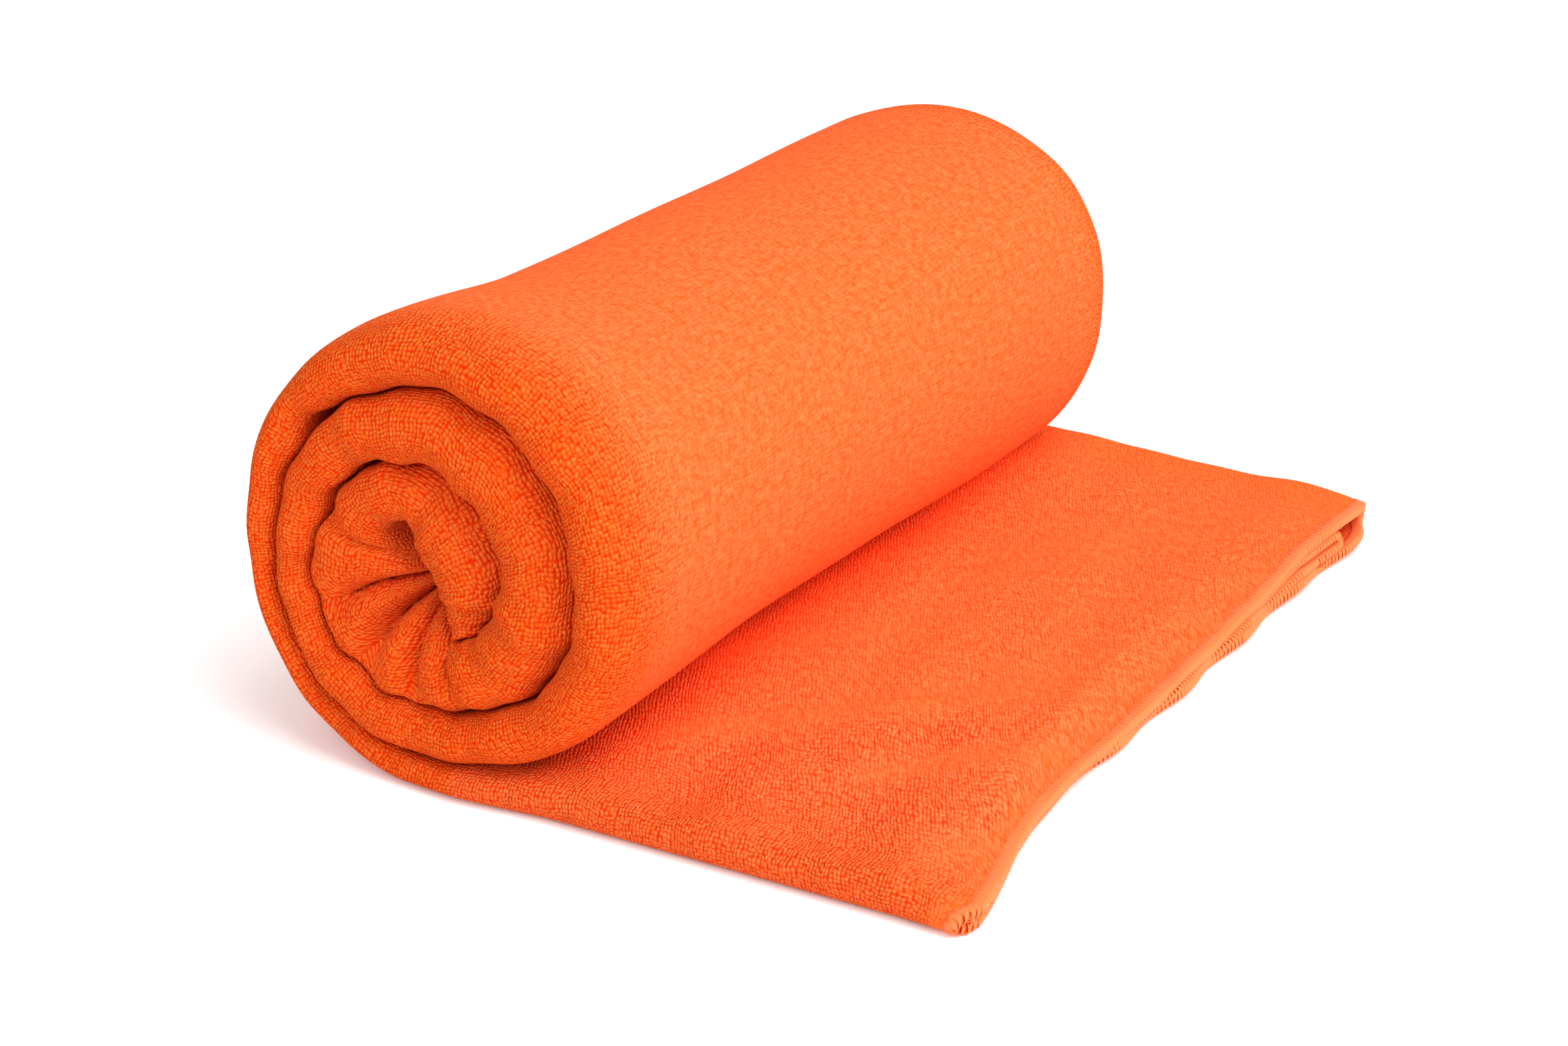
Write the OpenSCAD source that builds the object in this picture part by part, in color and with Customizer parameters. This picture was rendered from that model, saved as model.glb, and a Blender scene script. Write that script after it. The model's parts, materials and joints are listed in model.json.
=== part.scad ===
// Rolled microfibre travel towel with its last stretch lying out as a flat flap.
// The cloth is folded in four along its length into a strip, and the strip is rolled up.
// X runs along the flap, Y along the axis of the roll, Z up. The towel stands on Z = 0,
// with the origin under the middle of its box.

/* [Folded strip] */
// Width of the folded strip, which is also the length of the roll
strip_width = 187.5; // [120:0.5:200]
// Thickness of the flap: four plies of terry
flap_thickness = 7; // [6:0.5:8]
// Distance from the axis of the roll to the hemmed end of the flap
flap_reach = 98; // [90:1:102]

/* [Roll] */
// Diameter of the roll before it settles on the ground
roll_diameter = 82; // [80:1:90]
// How far the soft roll flattens where it rests
settle = 1; // [0.5:0.1:1.5]
// Thickness of the second half turn, counted from the flap
second_half_thickness = 9; // [7:0.5:9.5]
// Thickness of the middle turn, where the folds lie looser
middle_turn_thickness = 10.5; // [9:0.5:11]
// Air between one turn and the next
turn_gap = 0.5; // [0.4:0.1:0.8]

/* [Flap joints] */
// Number of hinged panels that stand for the flexible flap
panel_count = 8; // [6:1:8]
// Half of the slit between two panels
half_slit = 0.15; // [0.1:0.05:0.2]
// Extra room round the roll when the flap is curled up
curl_clearance = 10; // [3:0.5:12]
// Length of the overlocked hem along the flap
hem_length = 2; // [1.5:0.5:3]

/* [Colour] */
// Colour of the terry
terry_colour = [1, 0.42, 0.19];
// Colour of the overlock thread
thread_colour = [1, 0.55, 0.36];

/* [Hidden] */
$fn = 96;

// Lowest and highest points of the half turns, from the outside in
bottom_levels = [
    -settle,
    flap_thickness + turn_gap,
    flap_thickness + middle_turn_thickness + 2 * turn_gap,
    flap_thickness + 2 * middle_turn_thickness + 3 * turn_gap
];
top_levels = [
    roll_diameter - settle,
    roll_diameter - settle - second_half_thickness - turn_gap,
    roll_diameter - settle - second_half_thickness - middle_turn_thickness - 2 * turn_gap
];

// The curled flap lies round the right half of the outer turn
curl_centre = (top_levels[0] + bottom_levels[1]) / 2;
curl_radius = curl_centre - flap_thickness / 2 + curl_clearance;
// Half of the base lies beyond the axis, then come the panels
panel_length = flap_reach / (panel_count + 0.5);
panel_bend = 2 * atan(panel_length / 2 / curl_radius);
hinge_height = flap_thickness / 2;
panel_chamfer = hinge_height * tan(panel_bend / 2);

// The axis of the roll stands so far to the left that the box is centred on the origin
roll_axis_x = (roll_diameter / 2 - flap_reach) / 2;
// Reach of the block that cuts the settled roll flat
cut_depth = 50;

// Carries a part from the axis of the roll to its place over the origin
module placed() {
    translate([roll_axis_x, 0, 0])
        children();
}

// Section across the strip: flat, with a round fold along both sides
module strip_section(thickness) {
    square([thickness, strip_width - thickness], center = true);
    for (side = [-1, 1])
        translate([0, side * (strip_width - thickness) / 2])
            circle(d = thickness);
}

// Half a turn of strip between two levels, on the left (-X) or on the right (+X)
module half_turn(low, high, thickness, side) {
    radius = (high - low) / 2;
    translate([0, 0, (high + low) / 2])
        rotate([90, side * 90, 0])
            rotate_extrude(angle = 180)
                translate([radius - thickness / 2, 0])
                    strip_section(thickness);
}

// Everything below the ground, which cuts the settled roll flat
module below_ground() {
    translate([-roll_diameter, -strip_width, -cut_depth])
        cube([2 * roll_diameter, 2 * strip_width, cut_depth]);
}

// Straight length of strip lying on the ground, from one X to another
module flat_strip(from_x, to_x) {
    translate([from_x, 0, flap_thickness / 2])
        rotate([0, 90, 0])
            linear_extrude(to_x - from_x)
                strip_section(flap_thickness);
}

// Outline of a panel in X and Z: its upper corners are cut back for the bend
module panel_outline(from_x, to_x, cut_from, cut_to) {
    polygon([
        [from_x, -1],
        [to_x, -1],
        [to_x, hinge_height],
        [to_x - cut_to, flap_thickness],
        [to_x - cut_to, flap_thickness + 1],
        [from_x + cut_from, flap_thickness + 1],
        [from_x + cut_from, flap_thickness],
        [from_x, hinge_height]
    ]);
}

// Strip between two X positions, with its upper corners cut back
module cut_strip(from_x, to_x, cut_from, cut_to) {
    intersection() {
        flat_strip(from_x, to_x);
        rotate([90, 0, 0])
            linear_extrude(2 * strip_width, center = true)
                panel_outline(from_x, to_x, cut_from, cut_to);
    }
}

// First whole turn, which carries on from the flap
module outer_turn() {
    color(terry_colour)
        placed()
            difference() {
                union() {
                    half_turn(bottom_levels[0], top_levels[0], flap_thickness, -1);
                    half_turn(bottom_levels[1], top_levels[0], second_half_thickness, 1);
                }
                below_ground();
            }
}

// Second turn, a fatter fold inside the first
module middle_turn() {
    color(terry_colour)
        placed() {
            half_turn(bottom_levels[1], top_levels[1], middle_turn_thickness, -1);
            half_turn(bottom_levels[2], top_levels[1], middle_turn_thickness, 1);
        }
}

// Half of the crumpled core: a solid half roll with rounded ends
module half_core(low, high, side) {
    radius = (high - low) / 2;
    fold = middle_turn_thickness / 2;
    translate([0, 0, (high + low) / 2])
        rotate([90, side * 90, 0])
            rotate_extrude(angle = 180)
                union() {
                    translate([0, -strip_width / 2])
                        square([radius - fold, strip_width]);
                    translate([0, fold - strip_width / 2])
                        square([radius, strip_width - 2 * fold]);
                    for (end = [-1, 1])
                        translate([radius - fold, end * (strip_width / 2 - fold)])
                            circle(r = fold);
                }
}

// Start of the strip, crumpled into the middle of the roll
module core() {
    color(terry_colour)
        placed() {
            half_core(bottom_levels[2], top_levels[2], -1);
            half_core(bottom_levels[3], top_levels[2], 1);
        }
}

// Start of the flap, under the roll
module flap_base() {
    color(terry_colour)
        placed()
            cut_strip(0, panel_length / 2 - half_slit, 0, panel_chamfer);
}

// One hinged panel of the flap; the last one ends at the hem
module flap_panel(index) {
    is_last = index == panel_count;
    start = (index - 0.5) * panel_length + half_slit;
    end = is_last ? flap_reach - hem_length : (index + 0.5) * panel_length - half_slit;
    color(terry_colour)
        placed()
            cut_strip(start, end, panel_chamfer, is_last ? 0 : panel_chamfer);
}

// Overlock thread round the cut end of the flap
module end_overlock() {
    color(thread_colour)
        placed()
            flat_strip(flap_reach - hem_length, flap_reach);
}

outer_turn();
middle_turn();
core();
flap_base();
flap_panel(1);  // flap_panel_1
flap_panel(2);  // flap_panel_2
flap_panel(3);  // flap_panel_3
flap_panel(4);  // flap_panel_4
flap_panel(5);  // flap_panel_5
flap_panel(6);  // flap_panel_6
flap_panel(7);  // flap_panel_7
flap_panel(8);  // flap_panel_8
end_overlock();
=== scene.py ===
"""Looks of a rolled microfibre travel towel: one terry cloth, folded in four into a strip and rolled up,
with the last stretch of the strip lying out as a flap. Lengths in the shape code are millimetres; X and Z
are counted from the axis of the roll and the ground, and become metres in the row frame at the end."""
import json
import math

import bpy
import numpy as np
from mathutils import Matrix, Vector


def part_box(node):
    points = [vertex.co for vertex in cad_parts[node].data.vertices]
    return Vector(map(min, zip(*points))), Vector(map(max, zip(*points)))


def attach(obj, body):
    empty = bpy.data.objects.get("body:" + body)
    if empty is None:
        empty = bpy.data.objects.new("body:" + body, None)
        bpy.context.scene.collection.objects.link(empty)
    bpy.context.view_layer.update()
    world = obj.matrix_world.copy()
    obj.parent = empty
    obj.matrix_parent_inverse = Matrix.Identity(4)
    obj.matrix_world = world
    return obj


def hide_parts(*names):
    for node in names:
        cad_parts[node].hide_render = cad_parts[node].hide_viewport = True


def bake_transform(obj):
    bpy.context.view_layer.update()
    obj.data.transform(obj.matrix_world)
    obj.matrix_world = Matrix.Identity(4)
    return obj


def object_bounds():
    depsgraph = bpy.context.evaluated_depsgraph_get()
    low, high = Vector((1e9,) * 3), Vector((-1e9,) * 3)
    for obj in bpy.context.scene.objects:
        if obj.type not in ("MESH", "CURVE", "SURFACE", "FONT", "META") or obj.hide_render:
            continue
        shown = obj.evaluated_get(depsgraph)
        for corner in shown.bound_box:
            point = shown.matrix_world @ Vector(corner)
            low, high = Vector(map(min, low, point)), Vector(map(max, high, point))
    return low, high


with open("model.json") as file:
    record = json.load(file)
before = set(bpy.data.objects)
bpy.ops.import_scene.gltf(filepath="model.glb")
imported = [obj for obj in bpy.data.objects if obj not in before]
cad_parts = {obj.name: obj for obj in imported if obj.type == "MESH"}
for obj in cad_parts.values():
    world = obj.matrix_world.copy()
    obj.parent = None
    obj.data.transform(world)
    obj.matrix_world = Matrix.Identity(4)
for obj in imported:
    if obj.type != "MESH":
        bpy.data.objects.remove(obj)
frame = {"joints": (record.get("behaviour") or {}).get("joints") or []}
cad_low, cad_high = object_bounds()

MM = 0.001

# ---------------------------------------------------------------- sizes from the frame
hinges = [joint["pos_m"][0] / MM for joint in frame["joints"]]
PANEL = hinges[1] - hinges[0]
AXIS_X = hinges[0] - PANEL / 2
PANELS = len(hinges)
WIDTH = (cad_high.y - cad_low.y) / MM
HALF_WIDTH = WIDTH / 2
REACH = cad_high.x / MM - AXIS_X
FLAP_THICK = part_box("flap_panel_4")[1].z / MM

# ---------------------------------------------------------------- sizes of the cloth
# Thickness of one ply, of a ply squeezed by the overlock, and of the strip pressed flat under the roll
PLY = 1.55
HEM_PLY = 1.1
UNDER_ROLL_THICK = 5.2
# Centre of the coil in the end face, as (x, z), and the angles wound round it: where the flap runs into
# the coil at x = 0, where the core's pleated turn begins, where the strip ends, and how much of it
# before that end is rounded off
CENTRE = np.array([-4.0, 38.0])
START_ANGLE = -math.degrees(math.atan2(-CENTRE[0], CENTRE[1]))
CORE_ANGLE = 700.0
END_ANGLE = 1056.0
TIP_ANGLE = 22
# Room between one turn and the next
GAP = 0.25
# Length of the flap next to the roll over which its section turns into the roll's
JOIN = 16

# ---------------------------------------------------------------- fineness of the mesh
# Distance between rows round the roll and in its core, and rows to a panel of the flap
ROW_STEP = 1.65
CORE_ROW_STEP = ROW_STEP / 3.7
PANEL_ROWS = 14
LAST_PANEL_ROWS = 26
# Columns to a quarter of a fold and to a flat face; the lining has one for every INNER_STEP of them
FOLD_COLUMNS = 18
FACE_COLUMNS = 72
INNER_STEP = 4


def smooth(low, high, x):
    """0 below low, 1 above high, and an even S between them."""
    t = np.clip((np.asarray(x, float) - low) / (high - low), 0, 1)
    return t * t * (3 - 2 * t)


def bell(x, centre, width):
    """1 at the centre, falling off evenly on both sides."""
    return np.exp(-((np.asarray(x, float) - centre) / width) ** 2)


def spline(points, x):
    """A smooth curve through (x, y) points, without overshoot (Fritsch-Carlson)."""
    px, py = np.array(points, float).T
    d = np.diff(py) / np.diff(px)
    m = np.zeros(len(px))
    m[0], m[-1] = d[0], d[-1]
    h = np.diff(px)
    for i in range(1, len(px) - 1):
        if d[i - 1] * d[i] > 0:
            w1, w2 = 2 * h[i] + h[i - 1], h[i] + 2 * h[i - 1]
            m[i] = (w1 + w2) / (w1 / d[i - 1] + w2 / d[i])
    x = np.clip(np.asarray(x, float), px[0], px[-1])
    i = np.clip(np.searchsorted(px, x, side="right") - 1, 0, len(px) - 2)
    t = (x - px[i]) / h[i]
    return ((2 * t**3 - 3 * t**2 + 1) * py[i] + (t**3 - 2 * t**2 + t) * h[i] * m[i]
            + (-2 * t**3 + 3 * t**2) * py[i + 1] + (t**3 - t**2) * h[i] * m[i + 1])


# Outer face of the strip as a distance from the centre of the coil, against the angle wound from the
# lowest point: up the left side first. One turn further in lies the inner face of the same strip.
COIL = [
    (-10, 38.6), (0, 38), (12, 38.9), (31, 39.3), (54, 39.2), (90, 37.6), (135, 39.3), (180, 43),
    (225, 44.2), (270, 40.5), (300, 37.4), (327, 34.6), (349, 32.9), (366, 32.9), (385, 33.6),
    (404, 33.6), (425, 33.2), (444, 32.4), (463, 31.7), (482, 30.8), (495, 30.6), (522, 31),
    (548, 31.4), (563, 31.5), (586, 29.6), (616, 28.2), (627, 27.8), (652, 25.8), (681, 24.2),
    (703, 23.4), (727, 23.5), (755, 25), (775, 26.4), (790, 26.4), (806, 25), (828, 23.4),
    (850, 21.6), (875, 20), (900, 18.4), (930, 15.8), (967, 12.9), (1000, 11.5), (1045, 10.8),
    (1060, 10.8),
]
# Inner face where no further turn lies inside it, as (angle, x, z) from the centre of the coil: round the
# hole, out along the pit under the lip, and back down the free side of the tongue
HOLE = [
    (690, 5.6, -11), (700, 3.6, -10), (712, 1.2, -8), (725, -0.5, -6), (745, -1.5, -3.8),
    (770, -2.2, -2.4), (795, -3.2, -1.2), (812, -4.6, 0), (824, -6.6, 1.4), (836, -8.8, 3.4),
    (848, -9.6, 6), (860, -8.2, 8), (874, -5.6, 8.8), (886, -4, 7.8), (896, -4.4, 6.6),
    (908, -5, 5.2), (930, -4.8, 3), (955, -3.4, 0.8), (985, -1, -1.6), (1015, 0.2, -4.8),
    (1040, 2, -8.4), (1060, 3.2, -10.4),
]
# Places where the slack of a turn gapes: angle of the outer turn, width in degrees, opening
GAPES = [(137, 6, 1.5), (232, 9, 1.1), (310, 14, 0.5), (505, 10, 0.6), (540, 8, 0.9), (64, 20, 0.5)]
# Pleats of the cloth that run to the hole, as (angle, half width, depth)
PLEATS = [(706, 12, 0.8), (736, 14, 1), (765, 15, 1.2), (793, 14, 1.05), (829, 17, 0.4)]


def pleat(angle):
    """1 in the crease of a full pleat and 0 on the round lobe between two of them."""
    angle = np.asarray(angle, float)
    creases = [deep * (1 - np.sin(np.pi / 2 * np.clip(np.abs(angle - centre) / half, 0, 1)) ** 0.75)
               for centre, half, deep in PLEATS]
    return np.max(creases, axis=0)


def coil_radius(angle):
    """Distance of the strip's outer face from the coil's centre: flat on the ground, then bumpy."""
    flat = CENTRE[1] / np.cos(np.radians(np.clip(angle, -12, 12)))
    wobble = 0.3 * np.sin(angle / 5.3) + 0.22 * np.sin(angle / 2.9 + 1)
    bulge = 0.9 * (0.4 - pleat(angle)) * smooth(700, 715, angle) * (1 - smooth(805, 816, angle))
    bumpy = spline(COIL, angle) + wobble * smooth(375, 420, angle) + bulge
    return np.where(angle < 12, flat, bumpy)


def inner_points(angle, ray):
    """Inner face of the strip: just outside the next turn, or the free face round the hole."""
    gape = GAP + sum(opening * bell(angle, centre, wide) for centre, wide, opening in GAPES)
    next_turn = ray * (coil_radius(np.minimum(angle + 360, END_ANGLE)) + gape)[:, None]
    free = np.stack([spline([(a, x) for a, x, _ in HOLE], angle),
                     spline([(a, z) for a, _, z in HOLE], angle)], 1)
    weight = smooth(690, 706, angle)[:, None]
    return CENTRE + next_turn * (1 - weight) + free * weight


# ---------------------------------------------------------------- rows along the strip
def end_reach(y):
    """How far the cut end of the cloth lies from the axis: hollow in front, longer at the back."""
    t = y / HALF_WIDTH
    corners = 1.3 * smooth(-62, -84, y) - 3.2 * smooth(-86, -95, y) ** 1.5
    corners += 1.3 * smooth(60, 84, y) - 1.9 * smooth(86, 95, y) ** 1.5
    return REACH - 1.0 + 1.9 * t - 4.0 * (1 - t**2) - 2.8 * bell(y, -48, 26) + corners


def flap_rows():
    """x of the rows of the flap, from its cut end to the axis, and the piece that starts at each."""
    xs, marks = [], []
    lines = [k * PANEL for k in range(PANELS)] + [REACH]
    for k in range(PANELS, 0, -1):
        low, high = lines[k - 1], lines[k]
        marks.append(len(xs))
        if k == PANELS:
            # Rows lie closer together towards the cut end
            part = high - (high - low) * np.linspace(0, 1, LAST_PANEL_ROWS + 1)[:-1] ** 1.25
        else:
            part = np.linspace(high, low, PANEL_ROWS + 1)[:-1]
        xs += list(part)
    return np.array(xs), marks


def roll_rows():
    """Angles of the rows of the roll, from the ground to the strip's tip, closer together in the core."""
    angles, a = [], START_ANGLE
    while a < END_ANGLE - 0.3:
        angles.append(a)
        step = ROW_STEP if a < CORE_ANGLE else CORE_ROW_STEP
        a += math.degrees(step / float(coil_radius(a)))
    return np.array(angles + [END_ANGLE])


flap_x, flap_marks = flap_rows()
angle = np.concatenate([np.full(len(flap_x), START_ANGLE), roll_rows()])
is_flap = np.arange(len(angle)) < len(flap_x)
row_x = np.where(is_flap, np.concatenate([flap_x, np.zeros(len(angle) - len(flap_x))]), 0)

turn = np.radians(angle)
ray = np.stack([-np.sin(turn), -np.cos(turn)], 1)
outer = CENTRE + ray * coil_radius(angle)[:, None]
inner = inner_points(angle, ray)
# The flap lies on the ground, and its upper face runs into the roll's inner face
flap_height = UNDER_ROLL_THICK + (FLAP_THICK - UNDER_ROLL_THICK) * smooth(2, 24, row_x)
start_inner = inner[len(flap_x)]
outer[is_flap] = np.stack([row_x, 0 * row_x], 1)[is_flap]
slide = (1 - smooth(0, JOIN, row_x)) * (start_inner[0] - outer[len(flap_x)][0])
flap_height += (1 - smooth(0, JOIN, row_x)) * (start_inner[1] - UNDER_ROLL_THICK)
inner[is_flap] = np.stack([row_x + slide, flap_height], 1)[is_flap]

across = outer - inner
thick = np.linalg.norm(across, axis=1)
across /= thick[:, None]
# The strip's last millimetres close to a rounded end at the tip of the tongue
to_tip = np.clip((END_ANGLE - angle) / TIP_ANGLE, 0, 1)
closing = np.where(angle > END_ANGLE - TIP_ANGLE, np.sqrt(np.clip(1 - (1 - to_tip) ** 2, 0.01, 1)), 1)
middle = (outer + inner) / 2
thick = thick * closing
step_len = np.linalg.norm(np.diff(middle, axis=0), axis=1)
run = np.concatenate([[0], np.cumsum(step_len)])
run -= run[len(flap_x)]
# By row, for use with the points of all its columns: whether it is in the flap, how far from the axis it
# lies, and its share of the way along the last panel to the cut end
flap = is_flap[:, None]
from_axis = row_x[:, None]
last_line = (PANELS - 1) * PANEL
share = np.clip((from_axis - last_line) / (REACH - last_line), 0, 1) * flap


# ---------------------------------------------------------------- section of the folded strip
def section_columns(cap, side):
    """Columns round the section: (kind, amount). 'front'/'back' hold the angle on the fold, 'out'/'in'
    the share of the way along the flat faces. It starts at the front fold's foremost line."""
    quarter = np.linspace(0, 90, cap + 1)
    flat = np.linspace(0, 1, side + 1)
    out = [("front", 90 - q) for q in quarter] + [("out", f) for f in flat[1:-1]]
    out += [("back", q) for q in quarter] + [("back", 90 + q) for q in quarter[1:]]
    out += [("in", f) for f in flat[1:-1][::-1]] + [("front", 180 - q) for q in quarter[:-1]]
    return out


def fold_bulge(front):
    """How far each fold reaches along the axis beyond the flat faces: outer half, inner half, lean."""
    a = angle
    core_inner, core_outer, core_lean = 9.5 if front else 8.0, 6.0, 0.42
    flap_outer, flap_inner = (3.4, 3.5) if front else (4.6, 5.5)
    shoulder = spline([(0, 4), (60, 5), (120, 8), (180, 12), (250, 12), (320, 9), (370, 6)], a)
    out_half = np.where(a < 370, shoulder, np.maximum(thick * 0.6, 3.2))
    in_half = np.maximum(thick * 0.5, 2.4) + 1.6 * smooth(135, 150, a) * (1 - smooth(225, 240, a))
    pleated = smooth(700, 735, a) * (1 - smooth(822, 836, a))
    in_half = in_half * (1 - pleated) + core_inner * pleated
    out_half = out_half * (1 - pleated) + core_outer * pleated
    flat = smooth(0, JOIN, row_x)
    out_half = out_half * (1 - flat) + flap_outer * flat
    in_half = in_half * (1 - flat) + flap_inner * flat
    return out_half, in_half, core_lean * pleated


def telescope(front):
    """How far each fold sits back from the end of the roll, so that the turns aren't level."""
    a = angle
    if front:
        set_back = spline([(-6, 0.0), (40, 1.6), (90, 1.2), (150, 0.6), (210, 0), (300, 0.4), (360, 0.2),
                           (420, 1.4), (480, 0.8), (540, 0.4), (600, 0.8), (660, 0.2), (720, 0.6),
                           (760, 1.6), (820, 2.2), (880, 2.4), (940, 2.6), (1000, 3.4), (1056, 4.2)], a)
        wobble = 0.35 * np.sin(a / 23) + 0.3 * np.sin(a / 9.5 + 1) + 0.22 * np.sin(a / 4.1)
        wobble += 1.0 * bell(a, 137, 6) + 1.2 * bell(a, 505, 6)
        wobble += 0.9 * bell(a, 232, 5) - 0.7 * bell(a, 640, 9)
    else:
        set_back = spline([(-6, 0.0), (60, 0.8), (120, 2.0), (200, 0.6), (280, 0.2), (360, 1.0),
                           (450, 0.4), (540, 1.6), (630, 0.8), (720, 2.0), (800, 1.2), (880, 3.0),
                           (960, 2.2), (1056, 3.6)], a)
        wobble = 0.4 * np.sin(a / 19 + 2) + 0.3 * np.sin(a / 8.2) + 0.2 * np.sin(a / 3.7)
        wobble += 0.9 * bell(a, 205, 8) + 1.3 * bell(a, 470, 7)
    return np.where(is_flap, 0, set_back + wobble * smooth(10, 60, a))


def strip_points(columns):
    """Points of the strip's closed surface, before its folds and slack: rows x columns x 3."""
    front = fold_bulge(True) + (telescope(True),)
    back = fold_bulge(False) + (telescope(False),)
    half_thick = thick / 2
    points = np.zeros((len(angle), len(columns), 3))
    for j, (kind, amount) in enumerate(columns):
        if kind in ("front", "back"):
            out_half, in_half, lean_out, set_back = front if kind == "front" else back
            c, s = math.cos(math.radians(amount)), math.sin(math.radians(amount))
            reach = out_half if c >= 0 else in_half
            n = half_thick * (c + lean_out * s * s)
            depth = HALF_WIDTH - set_back - reach + reach * s
            y = -depth if kind == "front" else depth
        else:
            pick = 0 if kind == "out" else 1
            low = -(HALF_WIDTH - front[3] - front[pick])
            high = HALF_WIDTH - back[3] - back[pick]
            n = half_thick * (1 if kind == "out" else -1)
            y = low + (high - low) * amount
        points[:, j, 0] = middle[:, 0] + across[:, 0] * n
        points[:, j, 2] = middle[:, 1] + across[:, 1] * n
        points[:, j, 1] = y
    return points


# ---------------------------------------------------------------- folds, creases and slack
def lay_cut_end(p, y, z):
    """The cut end isn't straight, and the lower plies reach further than the top one and wave."""
    low_ply = 1 - smooth(1.2, 4.5, z)
    wave = np.sin(2 * np.pi * y / 27 + 0.6) * smooth(-75, -20, y) * (1 - smooth(80, 94, y))
    further = low_ply * (-0.5 + 1.9 * smooth(-40, 40, y) - 1.6 * smooth(78, 93, y) + 0.9 * wave)
    p[..., 0] += share * (end_reach(y) - REACH + further)
    lift = share**3 * (0.5 + 1.3 * (0.5 + 0.5 * wave)) * (1 - smooth(2, 7, z))
    p[..., 2] += lift * (1 - 0.7 * bell(y, -93, 12))
    # In front the plies lie tight together towards the cut end
    tight = 1 - 0.42 * smooth(0.05, 0.95, share) * (1 - smooth(10, 80, y))
    p[..., 2] = np.where(flap, p[..., 2] * tight, p[..., 2])


def puff_back_fold(p, y, z):
    """The back fold of the flap is puffed up and stands further back; the front fold is drawn in."""
    upper = smooth(2.5, 6.5, z)
    puff = smooth(35, 88, y) * flap
    p[..., 2] += puff * (2.3 + 3.0 * (1 - smooth(10, 75, from_axis))) * upper
    p[..., 2] -= share**2 * 0.9 * smooth(60, 92, y) * upper
    p[..., 1] += (4.0 - 2.2 * share**2) * smooth(70, 93, y) * flap * smooth(0, 30, from_axis)
    p[..., 1] += 1.4 * (1 - smooth(-93, -80, y)) * flap * smooth(0, 20, from_axis)


def raise_slack(p, x, y, z):
    """Slack bands run across the flap, side by side with its cut end, with small ripples on them."""
    top = smooth(3.5, 6.5, z) * flap
    away = smooth(14, 40, from_axis)
    band = (np.sin(2 * np.pi * (x - 0.08 * y + 3 * np.sin(y / 31)) / 27 + 1)
            + 0.5 * np.sin(2 * np.pi * (x + 0.05 * y) / 15.5 + y / 24))
    p[..., 2] += top * 0.42 * band * away * (0.4 + 0.6 * smooth(60, -60, y))
    p[..., 2] += top * 0.25 * np.sin(x / 5.3 + 2 * np.sin(y / 9)) * np.sin(y / 6.1) * away


def flare_roll(p, x, y, z):
    """The roll flares at both ends and is drawn in between, with a slight slack all round."""
    roll = (~flap) * smooth(8, 40, angle[:, None])
    w = angle[:, None] % 360
    front_flare = 0.065 * smooth(88, 140, w) * (1 - smooth(200, 260, w)) * (1 - smooth(-84, -45, y))
    back_flare = 0.13 * smooth(165, 240, w) * (1 - smooth(315, 358, w)) * smooth(-45, 88, y)
    waist = -0.013 * (1 - (y / HALF_WIDTH) ** 2) * smooth(30, 90, w) * (1 - smooth(300, 350, w))
    slack = 0.006 * np.sin(np.radians(3 * w) + y / 21) * np.cos(y / 17 + np.radians(2 * w))
    off_ground = smooth(30, 60, w) * (1 - smooth(310, 345, w))
    grow = (front_flare + back_flare + waist + slack * off_ground) * roll
    p[..., 0] += (x - CENTRE[0]) * grow
    p[..., 2] += (z - CENTRE[1]) * grow


def sculpt(points):
    """Moves the points the way the slack cloth lies: splayed end, flared roll, soft undulations."""
    p = points.copy()
    x, y, z = points[..., 0], points[..., 1], points[..., 2]
    lay_cut_end(p, y, z)
    puff_back_fold(p, y, z)
    raise_slack(p, x, y, z)
    flare_roll(p, x, y, z)
    p[..., 2] = np.maximum(p[..., 2], 0.0)
    return p


def pleat_depth(columns):
    """Pleats that run to the hole, as a depth behind the end face, for the folds of the core."""
    depth = np.zeros((len(angle), len(columns)))
    for j, (kind, amount) in enumerate(columns):
        if kind not in ("front", "back"):
            continue
        c = math.cos(math.radians(amount))
        toward_hole = 1 - smooth(-0.4, 0.98, c)
        shift = 0 if kind == "front" else 14
        drift = 3.5 * math.sin(2.6 * c + 0.5) + 2.0 * np.sin(angle / 37) * c
        crease = pleat(angle - shift + drift)
        inside = smooth(698, 710, angle) * (1 - smooth(826, 838, angle))
        deepest = 5.2 + 1.6 * bell(angle, 769, 22)
        depth[:, j] = deepest * toward_hole * crease * inside
    return depth


def finished(columns):
    """The strip's surface with its pleats, folds and slack."""
    p = strip_points(columns)
    depth = pleat_depth(columns)
    front = np.array([k == "front" for k, _ in columns])
    p[..., 1] += np.where(front, depth, -depth)
    return sculpt(p)


# ---------------------------------------------------------------- meshes
def grid_normals(p):
    """Normals of a rows x columns grid that closes round its columns."""
    along = np.gradient(p, axis=0)
    round_ = (np.roll(p, -1, 1) - np.roll(p, 1, 1))
    n = np.cross(along, round_)
    return n / np.maximum(np.linalg.norm(n, axis=2, keepdims=True), 1e-12)


def pair_columns(side, fold):
    """Section of the inner pair of plies, as (face, part, amount): a U whose fold lies near the back."""
    flat = list(np.linspace(0, 1, side + 1))
    bend = list(np.linspace(90, -90, fold + 1))
    outside = [("upper", f) for f in flat] + [("fold", b) for b in bend[1:-1]]
    outside += [("lower", f) for f in flat[::-1]]
    return [("outside",) + c for c in outside] + [("inside",) + c for c in outside[::-1]]


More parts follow.
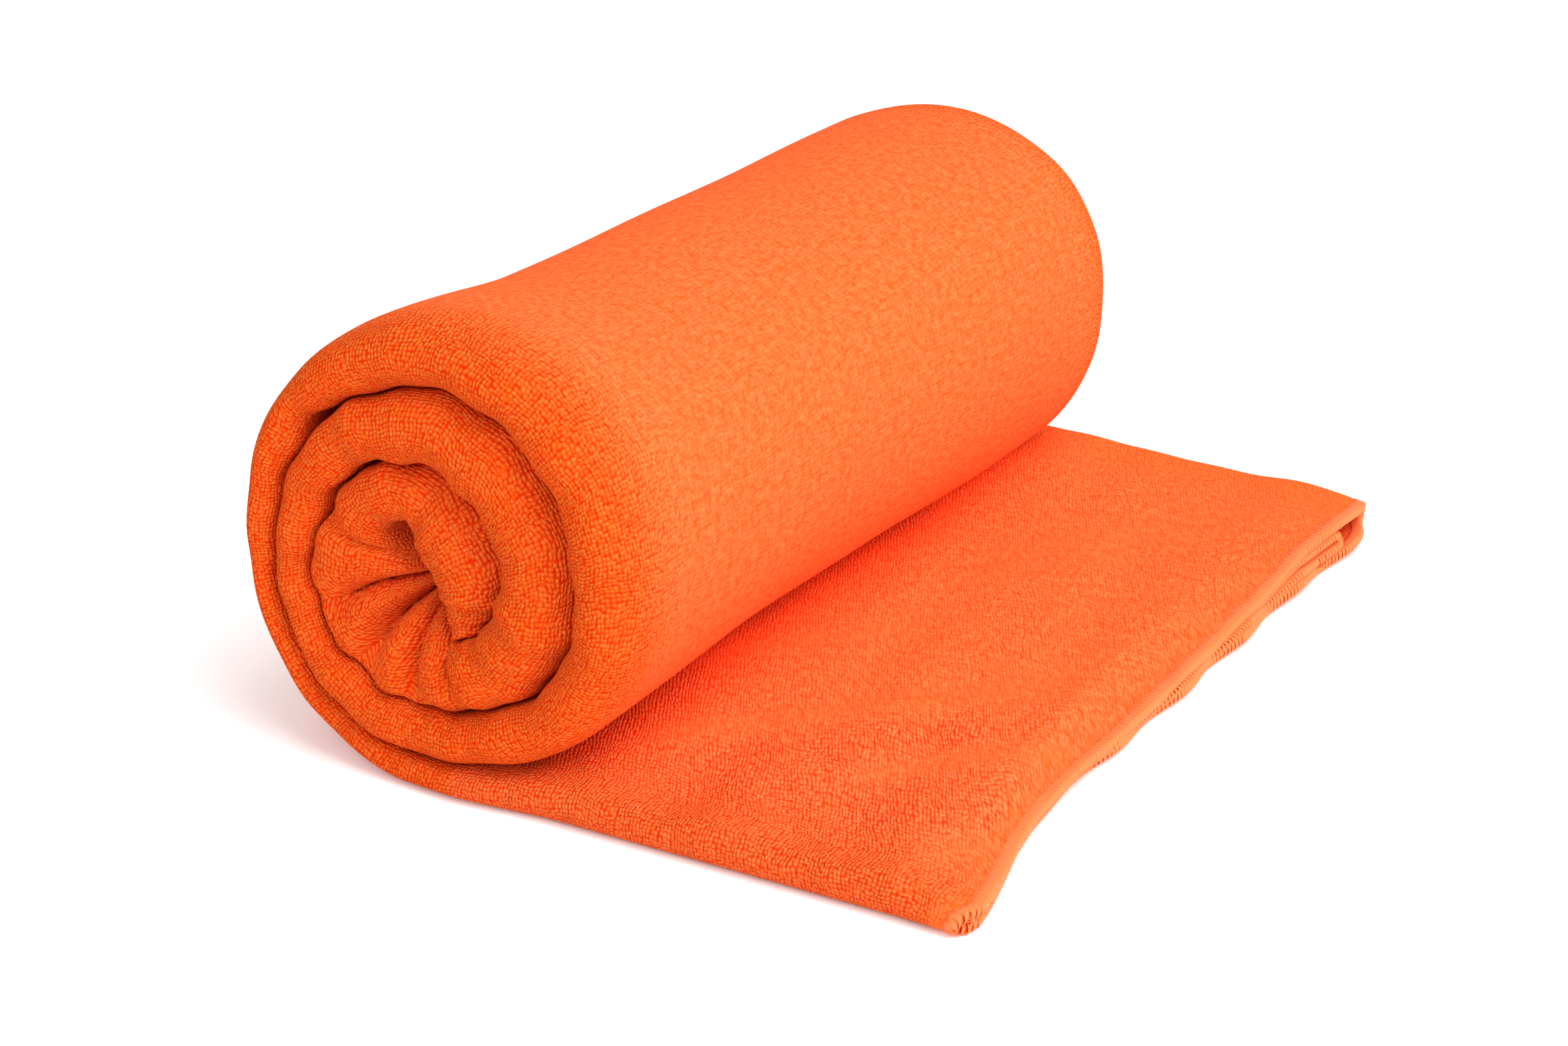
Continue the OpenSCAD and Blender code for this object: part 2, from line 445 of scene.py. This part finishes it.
def pair_points(columns):
    """Points of the inner pair of plies, rows x columns x 3."""
    spare = np.maximum(thick / 2 - ply_rows * 1.5 - 0.12, 0.35 * ply_rows)
    rolled = np.where(is_flap, 0, smooth(START_ANGLE, 40, angle))
    low, fold_at = -HALF_WIDTH + 3.6 + 12.0 * rolled, HALF_WIDTH - 17.0 - 5.0 * rolled
    points = np.zeros((len(angle), len(columns), 3))
    for j, (face, part, amount) in enumerate(columns):
        reach = spare + ply_rows * (0.5 if face == "outside" else -0.5) * 0.96
        start = low - (0.5 if face == "outside" else 0.0)
        if part == "fold":
            n = reach * math.sin(math.radians(amount))
            y = fold_at + reach * math.cos(math.radians(amount)) * 1.3
        else:
            n = reach * (1 if part == "upper" else -1)
            y = start + (fold_at - start) * amount
        points[:, j, 0] = middle[:, 0] - across[:, 0] * n
        points[:, j, 2] = middle[:, 1] - across[:, 1] * n
        points[:, j, 1] = y
    return sculpt(points)


COLUMNS = section_columns(FOLD_COLUMNS, FACE_COLUMNS)
surface = finished(COLUMNS)
normals = grid_normals(surface)
# The normals have to point away from the middle of the section, which any one row can tell
A_ROW = 40
section_middle = np.stack([middle[:, 0], 0 * angle, middle[:, 1]], 1)[:, None, :]
if ((surface - section_middle) * normals)[A_ROW, :, :].sum() < 0:
    normals = -normals
ply_rows = np.minimum(PLY, thick * 0.3)
# The overlock squeezes the last millimetres of the cloth
squeezed = 1 - smooth(1.3, 3.2, REACH - np.where(is_flap, row_x, 0))
surface -= normals * (0.5 * (PLY - HEM_PLY) * squeezed)[:, None, None]
lining_depth = (ply_rows - (PLY - HEM_PLY) * squeezed)[:, None, None]
lining = surface[:, ::INNER_STEP] - normals[:, ::INNER_STEP] * lining_depth
PAIR = pair_columns(side=20, fold=8)
pair = pair_points(PAIR)
pair_normals = grid_normals(pair)


def to_row_frame(p):
    """Points of any grid as one list, in metres, in the frame of the CAD."""
    q = p.reshape(-1, 3) * MM
    q[:, 0] += AXIS_X * MM
    return q


def loop_quads(rows, cols, base, flip):
    """Faces of a grid that closes round its columns; its first vertex is number base."""
    i, j = np.meshgrid(np.arange(rows - 1), np.arange(cols), indexing="ij")
    k = (j + 1) % cols
    a, b, c, d = i * cols + j, (i + 1) * cols + j, (i + 1) * cols + k, i * cols + k
    return np.stack([a, b, c, d] if not flip else [a, d, c, b], -1).reshape(-1, 4) + base


def rim_faces(row, rows, cols, inner_cols, base_inner, flip):
    """Faces that close the cut between the cloth's outer surface and its lining at one row."""
    faces = []
    for m in range(inner_cols):
        nxt = (m + 1) % inner_cols
        out = [row * cols + (m * INNER_STEP + t) % cols for t in range(INNER_STEP + 1)]
        face = out + [base_inner + row * inner_cols + nxt, base_inner + row * inner_cols + m]
        faces.append(face if not flip else face[::-1])
    return faces


def pair_rim(row, cols, base, flip):
    """Faces that close the inner pair's section at one row."""
    half_cols = cols // 2
    faces = []
    for m in range(half_cols - 1):
        face = [m, m + 1, cols - 2 - m, cols - 1 - m]
        face = [base + row * cols + v for v in face]
        faces.append(face if not flip else face[::-1])
    return faces


def cloth_piece(name, first, last):
    """Rows first to last of the strip: a closed shell of its outer plies round the inner pair."""
    outer_p, inner_p, pair_p = (g[first:last + 1] for g in (surface, lining, pair))
    rows, cols = outer_p.shape[:2]
    inner_cols, pair_cols = inner_p.shape[1], pair_p.shape[1]
    base, base2 = rows * cols, rows * (cols + inner_cols)
    verts = np.concatenate([to_row_frame(g) for g in (outer_p, inner_p, pair_p)])
    quads = np.concatenate([loop_quads(rows, cols, 0, False), loop_quads(rows, inner_cols, base, True),
                            loop_quads(rows, pair_cols, base2, True)])
    rims = (rim_faces(0, rows, cols, inner_cols, base, False)
            + rim_faces(rows - 1, rows, cols, inner_cols, base, True)
            + pair_rim(0, pair_cols, base2, False) + pair_rim(rows - 1, pair_cols, base2, True))
    mesh = bpy.data.meshes.new(name)
    mesh.from_pydata(verts.tolist(), [], quads.tolist() + rims)
    mesh.polygons.foreach_set("use_smooth", [True] * len(mesh.polygons))
    obj = bpy.data.objects.new(name, mesh)
    bpy.context.scene.collection.objects.link(obj)
    write_uv(mesh, first, last)
    write_normals(mesh, first, last, len(quads))
    return obj


def loop_arrays(mesh):
    """The vertex and the face of every corner of the mesh."""
    vertex = np.zeros(len(mesh.loops), int)
    mesh.loops.foreach_get("vertex_index", vertex)
    sizes = np.zeros(len(mesh.polygons), int)
    mesh.polygons.foreach_get("loop_total", sizes)
    return vertex, np.repeat(np.arange(len(sizes)), sizes)


def arc_across(step):
    """Distance along the section from the front fold's foremost line, and all the way round."""
    ahead = np.concatenate([np.zeros((len(angle), 1)), np.cumsum(step, 1)[:, :-1]], 1)
    return ahead, step.sum(1)[:, None]


SECTION_STEP = np.linalg.norm(np.diff(np.concatenate([surface, surface[:, :1]], 1), axis=1), axis=2)
AHEAD, TOTAL = arc_across(SECTION_STEP)
# The terry's loops are drawn out where the faces are flat, so a millimetre counts for less there
DRAWN_OUT = 0.58 - 0.1 * smooth(0, 12, row_x)[:, None]
NEAR_FOLD = smooth(HALF_WIDTH - 26, HALF_WIDTH - 6, np.abs(surface[..., 1]))
LOOPS_AHEAD, LOOPS_TOTAL = arc_across(SECTION_STEP * (DRAWN_OUT + (1 - DRAWN_OUT) * NEAR_FOLD))
BACK_COLUMN = [k for k, (kind, amount) in enumerate(COLUMNS) if kind == "back" and amount == 90][0]


def write_uv(mesh, first, last):
    """Places in the cloth: along the strip, and from the front fold the nearer way round."""
    rows, cols = last - first + 1, len(COLUMNS)
    vertex, face = loop_arrays(mesh)
    on_surface = vertex < rows * cols
    i, j = np.where(on_surface, vertex // cols, 0) + first, np.where(on_surface, vertex % cols, 0)
    # A face is on the inner half if any of its corners is past the back fold's foremost line
    inner_half = np.zeros(len(mesh.polygons), bool)
    np.logical_or.at(inner_half, face, j > BACK_COLUMN)
    v = np.where(inner_half[face], LOOPS_AHEAD[i, j] - LOOPS_TOTAL[i, 0], LOOPS_AHEAD[i, j])
    v = np.where(inner_half[face] & (j == 0), 0.0, v)
    # On the flap the rows of loops are drawn slantwise, but not on its front fold
    beside = np.where(inner_half[face], TOTAL[i, 0] - AHEAD[i, j], AHEAD[i, j])
    beside = np.where(inner_half[face] & (j == 0), 0.0, beside)
    on_flap = np.ones(len(mesh.polygons), bool)
    np.logical_and.at(on_flap, face, is_flap[i])
    slant = 0.5 * np.maximum(beside - 9, 0) * on_flap[face]
    u = np.where(is_flap[i], -surface[i, j, 0] - slant, run[i])
    co = np.zeros(len(mesh.vertices) * 3)
    mesh.vertices.foreach_get("co", co)
    co = co.reshape(-1, 3)[vertex] / MM
    u, v = np.where(on_surface, u, co[:, 0] + co[:, 2]), np.where(on_surface, v, co[:, 1])
    uv = mesh.uv_layers.new(name="cloth")
    uv.data.foreach_set("uv", np.stack([u, v], 1).astype(np.float32).ravel())


def write_normals(mesh, first, last, quads):
    """Smooth normals taken from the whole strip, so that no seam shows where its lengths meet."""
    vertex, face = loop_arrays(mesh)
    flat = np.zeros(len(mesh.polygons) * 3, np.float32)
    mesh.polygons.foreach_get("normal", flat)
    flat = flat.reshape(-1, 3)
    source = normals[first:last + 1].reshape(-1, 3)
    inner_source = -normals[first:last + 1, ::INNER_STEP].reshape(-1, 3)
    pair_source = pair_normals[first:last + 1].reshape(-1, 3)
    stored = np.concatenate([source, inner_source, pair_source])
    loop = stored[vertex]
    # Where a stored normal disagrees with its face, the face's own side wins
    wrong = (loop * flat[face]).sum(1) < 0
    loop[wrong] = -loop[wrong]
    rim = face >= quads
    loop[rim] = flat[face[rim]]
    mesh.normals_split_custom_set(loop.tolist())


# ---------------------------------------------------------------- overlock thread
# From one stitch to the next, and how far a stitch reaches in from the cut edge
STITCH = 1.25
BITE = 2.1
# How far the thread's centre line stands off the cloth, and half the height of the flat thread
THREAD_LIFT = 0.14
THREAD_HALF_HEIGHT = 0.12
# Rows from the cut end by which the inward direction is taken
INWARD_ROWS = 4


def edge_frames(mid, inward, normal, closed):
    """Length of a cut edge, its number of stitches, and a way to get its centre, inward and normal
    vectors at any distance along it."""
    if closed:
        mid, inward, normal = (np.concatenate([g, g[:1]]) for g in (mid, inward, normal))
    outside = mid + normal * HEM_PLY / 2
    length = np.concatenate([[0], np.cumsum(np.linalg.norm(np.diff(outside, axis=0), axis=1))])
    count = int(round(length[-1] / STITCH))

    def at(where, source):
        return np.stack([np.interp(where, length, source[:, k]) for k in range(3)], 1)

    return length[-1], count, lambda where: [at(where, g) for g in (mid, inward, normal)]


def thread_path(mid, inward, normal, closed):
    """Centre line, side vectors and widths of a thread that winds over the cut edge, stitch by stitch."""
    total, count, frames = edge_frames(mid, inward, normal, closed)
    h = HEM_PLY / 2 + THREAD_LIFT
    # One turn, as (inwards, off the middle of the ply, share of the stitch)
    turn_points = [(BITE, h * 0.2, 0.0), (BITE, h, 0.03),
                   (BITE * 0.6, h * 1.12, 0.14), (BITE * 0.25, h * 1.12, 0.25)]
    for k in range(7):
        t = math.radians(90 - 30 * k)
        turn_points.append((-0.30 * math.cos(t), h * 1.1 * math.sin(t), 0.33 + 0.06 * k))
    turn_points += [(BITE * 0.3, -h * 1.1, 0.76), (BITE * 0.7, -h * 1.1, 0.88), (BITE, -h, 0.97)]
    turn_points = np.array(turn_points)
    stitch = np.repeat(np.arange(count), len(turn_points))
    m, n, f = np.tile(turn_points, (count, 1)).T
    rng = np.random.default_rng(7)
    # Each stitch reaches in a little further or less far, and stands a little to one side
    m = m + np.repeat(rng.normal(0, 0.12, count), len(turn_points)) * (m > 1)
    aside = np.repeat(rng.normal(0, 0.03, count), len(turn_points)) * (m < 1)
    where = (stitch + f + aside) * total / count
    centre, inw, nor = frames(np.minimum(where, total))
    # The stitches are shorter and wider where the thread goes round the front fold
    front_fold = smooth(-84, -91, centre[:, 1])
    m = m * (1 - 0.35 * front_fold * (m > 0))
    inw /= np.linalg.norm(inw, axis=1, keepdims=True)
    nor -= inw * (nor * inw).sum(1, keepdims=True)
    nor /= np.linalg.norm(nor, axis=1, keepdims=True)
    wide = (0.56 + 0.16 * smooth(BITE, 0.6, m)) * (1 + 0.5 * front_fold)
    return centre + inw * m[:, None] + nor * n[:, None], np.cross(inw, nor), wide


def tube(name, path, side, wide, high, sides=6):
    """A closed tube along path, whose section is wide (a value per point) along side, and high across."""
    along = np.gradient(path, axis=0)
    along /= np.linalg.norm(along, axis=1, keepdims=True)
    side = side - along * (side * along).sum(1, keepdims=True)
    side /= np.linalg.norm(side, axis=1, keepdims=True)
    up = np.cross(along, side)
    t = np.linspace(0, 2 * np.pi, sides, endpoint=False)
    across_tube = np.sign(np.cos(t)) * np.abs(np.cos(t)) ** 0.5
    ring = (path[:, None] + wide[:, None, None] * across_tube[None, :, None] * side[:, None]
            + high * np.sin(t)[None, :, None] * up[:, None])
    ring[..., 2] = np.maximum(ring[..., 2], 0.0)
    faces = loop_quads(len(path), sides, 0, True).tolist()
    faces += [list(range(sides)), [len(path) * sides - 1 - k for k in range(sides)]]
    mesh = bpy.data.meshes.new(name)
    mesh.from_pydata(to_row_frame(ring).tolist(), [], faces)
    mesh.polygons.foreach_set("use_smooth", [True] * len(mesh.polygons))
    obj = bpy.data.objects.new(name, mesh)
    bpy.context.scene.collection.objects.link(obj)
    return obj


def outer_hem():
    """Thread round the cut edge of the two outer plies, which go all round the section."""
    mid = surface[0] - normals[0] * HEM_PLY / 2
    inward = surface[INWARD_ROWS] - surface[0]
    return tube("hem_outer_plies", *thread_path(mid, inward, normals[0], True), THREAD_HALF_HEIGHT)


def pair_hem():
    """Thread over the cut edge of the inner pair of plies, from its one long edge to the other."""
    half_cols = len(PAIR) // 2
    outside, inside = pair[:, :half_cols], pair[:, half_cols:][:, ::-1]
    centre = (outside + inside) / 2
    normal = outside[0] - inside[0]
    normal /= np.linalg.norm(normal, axis=1, keepdims=True)
    inward = centre[INWARD_ROWS] - centre[0]
    return tube("hem_inner_plies", *thread_path(centre[0], inward, normal, False), THREAD_HALF_HEIGHT)


# ---------------------------------------------------------------- materials
def new_material(name, colour):
    """A node material of one colour, and its shader."""
    material = bpy.data.materials.new(name)
    material.use_nodes = True
    shader = material.node_tree.nodes["Principled BSDF"]
    shader.inputs["Base Color"].default_value = (*colour, 1)
    return material, shader


class Nodes:
    """Short ways to add and join shader nodes."""

    def __init__(self, material):
        self.tree = material.node_tree

    def add(self, kind, settings=(), **inputs):
        node = self.tree.nodes.new(kind)
        for name, value in dict(settings).items():
            setattr(node, name, value)
        for name, value in inputs.items():
            # _0 is the first input, and any other name is the input's own, with _ for a space
            socket = node.inputs[int(name[1:]) if name[0] == "_" else name.replace("_", " ")]
            if isinstance(value, bpy.types.NodeSocket):
                self.tree.links.new(value, socket)
            else:
                socket.default_value = value
        return node

    def maths(self, operation, a, b=0.0, c=0.0):
        node = self.add("ShaderNodeMath", {"operation": operation}, _0=a, _1=b, _2=c)
        return node.outputs[0]

    def mix(self, amount, a, b):
        node = self.add("ShaderNodeMix", {"data_type": "RGBA"}, _0=amount, _6=a, _7=b)
        return node.outputs[2]

    def ramp(self, value, low, high):
        node = self.add("ShaderNodeMapRange", {"interpolation_type": "SMOOTHSTEP"}, Value=value,
                        From_Min=low, From_Max=high)
        return node.outputs[0]


# Terry loops from one to the next, along the strip and across it
LOOP_PITCH = (0.7, 0.76)


def terry_material():
    """Orange terry: rows of loops with painted shade in the gaps between them, and a paler, even nap
    where it is brushed.
    """
    material, shader = new_material("terry", (1.0, 0.17, 0.03))
    shader.inputs["Roughness"].default_value = 0.95
    shader.inputs["Specular IOR Level"].default_value = 0.04
    shader.inputs["Sheen Weight"].default_value = 0.04
    shader.inputs["Sheen Roughness"].default_value = 0.4
    shader.inputs["Sheen Tint"].default_value = (1.0, 0.35, 0.12, 1)
    shader.inputs["Subsurface Weight"].default_value = 0.2
    shader.inputs["Subsurface Radius"].default_value = (1.0, 0.2, 0.05)
    shader.inputs["Subsurface Scale"].default_value = 0.0015
    n = Nodes(material)
    uv = n.add("ShaderNodeUVMap", {"uv_map": "cloth"}).outputs["UV"]
    # Rows of loops that wander a little
    warp = n.add("ShaderNodeTexNoise", Vector=uv, Scale=0.11, Detail=2.0).outputs["Color"]
    shift = n.add("ShaderNodeVectorMath", {"operation": "MULTIPLY_ADD"}, _0=warp, _1=(3.5, 3.5, 0), _2=uv)
    rows = n.add("ShaderNodeVectorMath", {"operation": "MULTIPLY"}, _0=shift.outputs[0],
                 _1=(1 / LOOP_PITCH[0], 1 / LOOP_PITCH[1], 0))
    cells = n.add("ShaderNodeTexVoronoi", {"voronoi_dimensions": "2D"}, Vector=rows.outputs[0],
                  Scale=1.0, Randomness=0.4)
    loop_height = n.ramp(cells.outputs["Distance"], 0.68, 0.08)
    # Painted shade: the gaps between the loops are darkened as if they lay in shadow
    gap_shade = n.ramp(cells.outputs["Distance"], 0.3, 0.66)
    tone = n.add("ShaderNodeSeparateColor", _0=cells.outputs["Color"]).outputs[0]
    loops = n.add("ShaderNodeAttribute", {"attribute_name": "loops"}).outputs["Fac"]
    tuft = n.add("ShaderNodeTexNoise", Vector=uv, Scale=0.8, Detail=4.0, Roughness=0.75).outputs["Fac"]
    fibre = n.add("ShaderNodeTexNoise", Vector=uv, Scale=4.5, Detail=2.0).outputs["Fac"]
    clump = n.add("ShaderNodeTexNoise", Vector=uv, Scale=0.95, Detail=2.0, Roughness=0.6).outputs["Fac"]
    # Loops have pale tops and painted shade in the gaps between them; where the nap is brushed it is
    # paler and even
    # Colour of the loops on the end folds: partly their own tone, partly painted shade, darker and more
    # saturated
    looped_and_shaded_colour = n.mix(tone, (1.0, 0.1, 0.005, 1), (1.0, 0.165, 0.02, 1))
    even = n.ramp(tuft, 0.3, 0.7)
    brushed_colour = n.mix(even, (1.0, 0.088, 0.011, 1), (1.0, 0.155, 0.043, 1))
    # Where the loops stand open the nap is paler: partly its looser pile, partly painted light that
    # brightens the flap, most of all towards its front
    open_nap_and_painted_light_colour = n.mix(even, (1.0, 0.115, 0.018, 1), (1.0, 0.23, 0.076, 1))
    nap_colour = n.mix(loops, brushed_colour, open_nap_and_painted_light_colour)
    # deep marks the end folds that take the darker colour, which is partly painted shade
    deep = n.add("ShaderNodeAttribute", {"attribute_name": "deep"}).outputs["Fac"]
    top = n.mix(deep, nap_colour, looped_and_shaded_colour)
    by_loops = n.maths("MULTIPLY_ADD", loops, 0.75, 0.28)
    gap_shade_strength = n.maths("MULTIPLY", by_loops, n.ramp(clump, 0.25, 0.55))
    # Painted shade in the gaps, stronger where the loops stand out and in clumps
    colour = n.mix(n.maths("MULTIPLY", gap_shade_strength, gap_shade), top, (0.7, 0.02, 0.0003, 1))
    n.tree.links.new(colour, shader.inputs["Base Color"])
    depth = n.maths("MULTIPLY_ADD", loops, 0.75, 0.2)
    bump = n.add("ShaderNodeBump", Strength=depth, Distance=0.0006, Height=loop_height)
    nap = n.add("ShaderNodeBump", Strength=0.35, Distance=0.0003, Height=tuft, Normal=bump.outputs[0])
    fuzz = n.add("ShaderNodeBump", Strength=0.35, Distance=0.00012, Height=fibre, Normal=nap.outputs[0])
    n.tree.links.new(fuzz.outputs[0], shader.inputs["Normal"])
    return material


def thread_material():
    """Fine strands of a slightly paler orange."""
    material, shader = new_material("overlock_thread", (1.0, 0.21, 0.06))
    shader.inputs["Roughness"].default_value = 0.7
    shader.inputs["Specular IOR Level"].default_value = 0.2
    shader.inputs["Sheen Weight"].default_value = 0.2
    shader.inputs["Sheen Tint"].default_value = (1.0, 0.5, 0.3, 1)
    n = Nodes(material)
    place = n.add("ShaderNodeTexCoord").outputs["Object"]
    strands = n.add("ShaderNodeTexNoise", Vector=place, Scale=2500.0, Detail=2.0).outputs["Fac"]
    colour = n.mix(strands, (1.0, 0.145, 0.03, 1), (1.0, 0.19, 0.055, 1))
    n.tree.links.new(colour, shader.inputs["Base Color"])
    bump = n.add("ShaderNodeBump", Strength=0.4, Distance=0.0001, Height=strands)
    n.tree.links.new(bump.outputs[0], shader.inputs["Normal"])
    return material


# Bands of the flap whose loops are brushed flat, as (y - x, half width, from x, to x)
BRUSHED = [(-50, 6, 14, 46), (-91, 7, 24, 82), (-124, 5, 62, 90), (-162, 6, 84, 95), (-12, 12, 40, 90)]


def write_loops(mesh, first, last):
    """How much the terry's loops stand out: on the folds and the open flap, less on the brushed roll."""
    p = surface[first:last + 1]
    x, y = p[..., 0], p[..., 1]
    value = 0.1 + 0.9 * smooth(HALF_WIDTH - 24, HALF_WIDTH - 2, np.abs(y))
    flap_here = flap[first:last + 1]
    patch = np.sin(x / 2.9 + 2.2 * np.sin(y / 11) + 0.12 * y) * np.cos(y / 5.3 + x / 9)
    open_flap = 0.36 + 0.5 * smooth(-25, -70, y) + 0.3 * bell(x + y, 28, 22) * bell(y - x, -106, 10)
    open_flap += 0.1 * patch
    # Brushed bands lie slantwise over the flap
    for slant, wide, begin, end in BRUSHED:
        stretch = smooth(begin - 6, begin + 6, x) * (1 - smooth(end - 5, end + 3, x))
        open_flap = open_flap * (1 - 0.85 * bell(y - x, slant, wide) * stretch)
    fold = smooth(HALF_WIDTH - 14, HALF_WIDTH - 3, -y) * 0.95
    fold += smooth(HALF_WIDTH - 3, HALF_WIDTH + 2, y) * 0.5
    near_hem = smooth(REACH - 8, REACH - 3.5, from_axis[first:last + 1]) * flap_here
    on_the_flap = np.clip(np.maximum(fold, open_flap), 0, 1) * (1 - 0.8 * near_hem)
    value = np.where(flap_here, on_the_flap, value)
    # On the folds at both ends of the roll, and less on the flap's folds, the colour turns darker and
    # more saturated: partly the coarser loops there, partly painted shade where the end faces turn from
    # the light
    deep = smooth(HALF_WIDTH - 20, HALF_WIDTH, np.abs(y)) * np.where(flap_here, 0.4, 1.0)
    for name, field in (("loops", value), ("deep", deep)):
        attribute = mesh.attributes.new(name, "FLOAT", "POINT")
        hidden = np.full(len(mesh.vertices) - field.size, 0.25)
        attribute.data.foreach_set("value", np.concatenate([field.ravel(), hidden]).astype(np.float32))


terry = terry_material()
thread = thread_material()


def dress(obj, first, last):
    """Gives a length of the strip its material, and the attributes that its material reads."""
    write_loops(obj.data, first, last)
    obj.data.materials.append(terry)


# ---------------------------------------------------------------- camera, floor, light
def look_at(obj, target):
    """Turns a camera or a light towards the target."""
    obj.rotation_euler = (Vector(target) - obj.location).to_track_quat("-Z", "Y").to_euler()


def make_camera():
    """A camera that looks at the towel from the front, from the right and from above."""
    camera = bpy.data.objects.new("camera", bpy.data.cameras.new("camera"))
    bpy.context.scene.collection.objects.link(camera)
    camera.data.sensor_width = 36
    camera.data.lens = 61
    azimuth, elevation, distance = math.radians(28.91), math.radians(22.54), 0.51014
    target = Vector((AXIS_X * MM + 0.01284, 0, 0.01963))
    direction = Vector((math.sin(azimuth) * math.cos(elevation),
                        -math.cos(azimuth) * math.cos(elevation), math.sin(elevation)))
    camera.location = target + direction * distance
    camera.data.clip_start = 0.01
    look_at(camera, target)
    bpy.context.scene.camera = camera


def make_floor():
    """A pale floor, a hair below the towel."""
    mesh = bpy.data.meshes.new("floor")
    size = 4
    bright_from, bright_at = 0.2, 0.9
    mesh.from_pydata([(-size, -size, 0), (size, -size, 0), (size, size, 0), (-size, size, 0)], [],
                     [(0, 1, 2, 3)])
    floor = bpy.data.objects.new("floor", mesh)
    bpy.context.scene.collection.objects.link(floor)
    floor.location.z = -0.0002
    material, shader = new_material("pale_floor", (0.93, 0.93, 0.93))
    shader.inputs["Roughness"].default_value = 1
    shader.inputs["Specular IOR Level"].default_value = 0
    shader.inputs["Emission Color"].default_value = (1, 1, 1, 1)
    # Far from the towel the floor is as white as the backdrop; it isn't brighter as a light
    n = Nodes(material)
    place = n.add("ShaderNodeTexCoord").outputs["Object"]
    away = n.add("ShaderNodeVectorMath", {"operation": "LENGTH"}, _0=place).outputs["Value"]
    seen = n.add("ShaderNodeLightPath").outputs["Is Camera Ray"]
    bright = n.maths("MULTIPLY", n.ramp(away, bright_from, bright_at), seen)
    glow = n.maths("MULTIPLY_ADD", bright, 0.9, 0.1)
    n.tree.links.new(glow, shader.inputs["Emission Strength"])
    mesh.materials.append(material)


def make_light(name, location, size, power, target=(0, 0, 0.03)):
    """A square area light that faces the towel."""
    light = bpy.data.objects.new(name, bpy.data.lights.new(name, "AREA"))
    light.data.size = size
    light.data.energy = power
    light.location = location
    bpy.context.scene.collection.objects.link(light)
    look_at(light, target)


def make_world(strength):
    """White behind the towel, and dimmer as a light on it."""
    world = bpy.data.worlds.new("studio")
    bpy.context.scene.world = world
    world.use_nodes = True
    tree = world.node_tree
    background = tree.nodes["Background"]
    background.inputs["Color"].default_value = (1, 1, 1, 1)
    level = tree.nodes.new("ShaderNodeMapRange")
    level.inputs["To Min"].default_value = strength
    level.inputs["To Max"].default_value = 1.0
    seen = tree.nodes.new("ShaderNodeLightPath").outputs["Is Camera Ray"]
    tree.links.new(seen, level.inputs["Value"])
    tree.links.new(level.outputs["Result"], background.inputs["Strength"])


make_camera()
make_floor()
make_world(strength=0.38)
make_light("key", (0.5, -0.3, 1.0), 0.7, 6.2)
make_light("front", (0.2, -1.0, 0.85), 0.6, 7)
make_light("side", (0.85, -0.3, 0.85), 0.8, 6.6)
make_light("low", (1.2, -0.2, 0.22), 0.6, 7)
make_light("back", (0.1, 1.0, 0.8), 0.9, 5)
bpy.context.scene.view_settings.view_transform = "Standard"

# ---------------------------------------------------------------- the towel
first_roll = len(flap_x)
core_row = int(np.searchsorted(angle, CORE_ANGLE))
last_row = len(angle) - 1

turns = cloth_piece("outer_turns", first_roll, core_row)
dress(turns, first_roll, core_row)
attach(turns, "roll")
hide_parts("outer_turn", "middle_turn", "flap_base")

core = cloth_piece("core_turn", core_row, last_row)
dress(core, core_row, last_row)
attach(core, "roll")
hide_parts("core")

ends = flap_marks[1:] + [first_roll]
for k, (first, last) in enumerate(zip(flap_marks, ends)):
    number = PANELS - k
    piece = cloth_piece(f"flap_{number}", first, last)
    dress(piece, first, last)
    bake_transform(piece)
    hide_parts(f"flap_panel_{number}")
    if number == PANELS:
        for hem in (outer_hem(), pair_hem()):
            hem.data.materials.append(thread)
            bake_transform(hem)
            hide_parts("end_overlock")
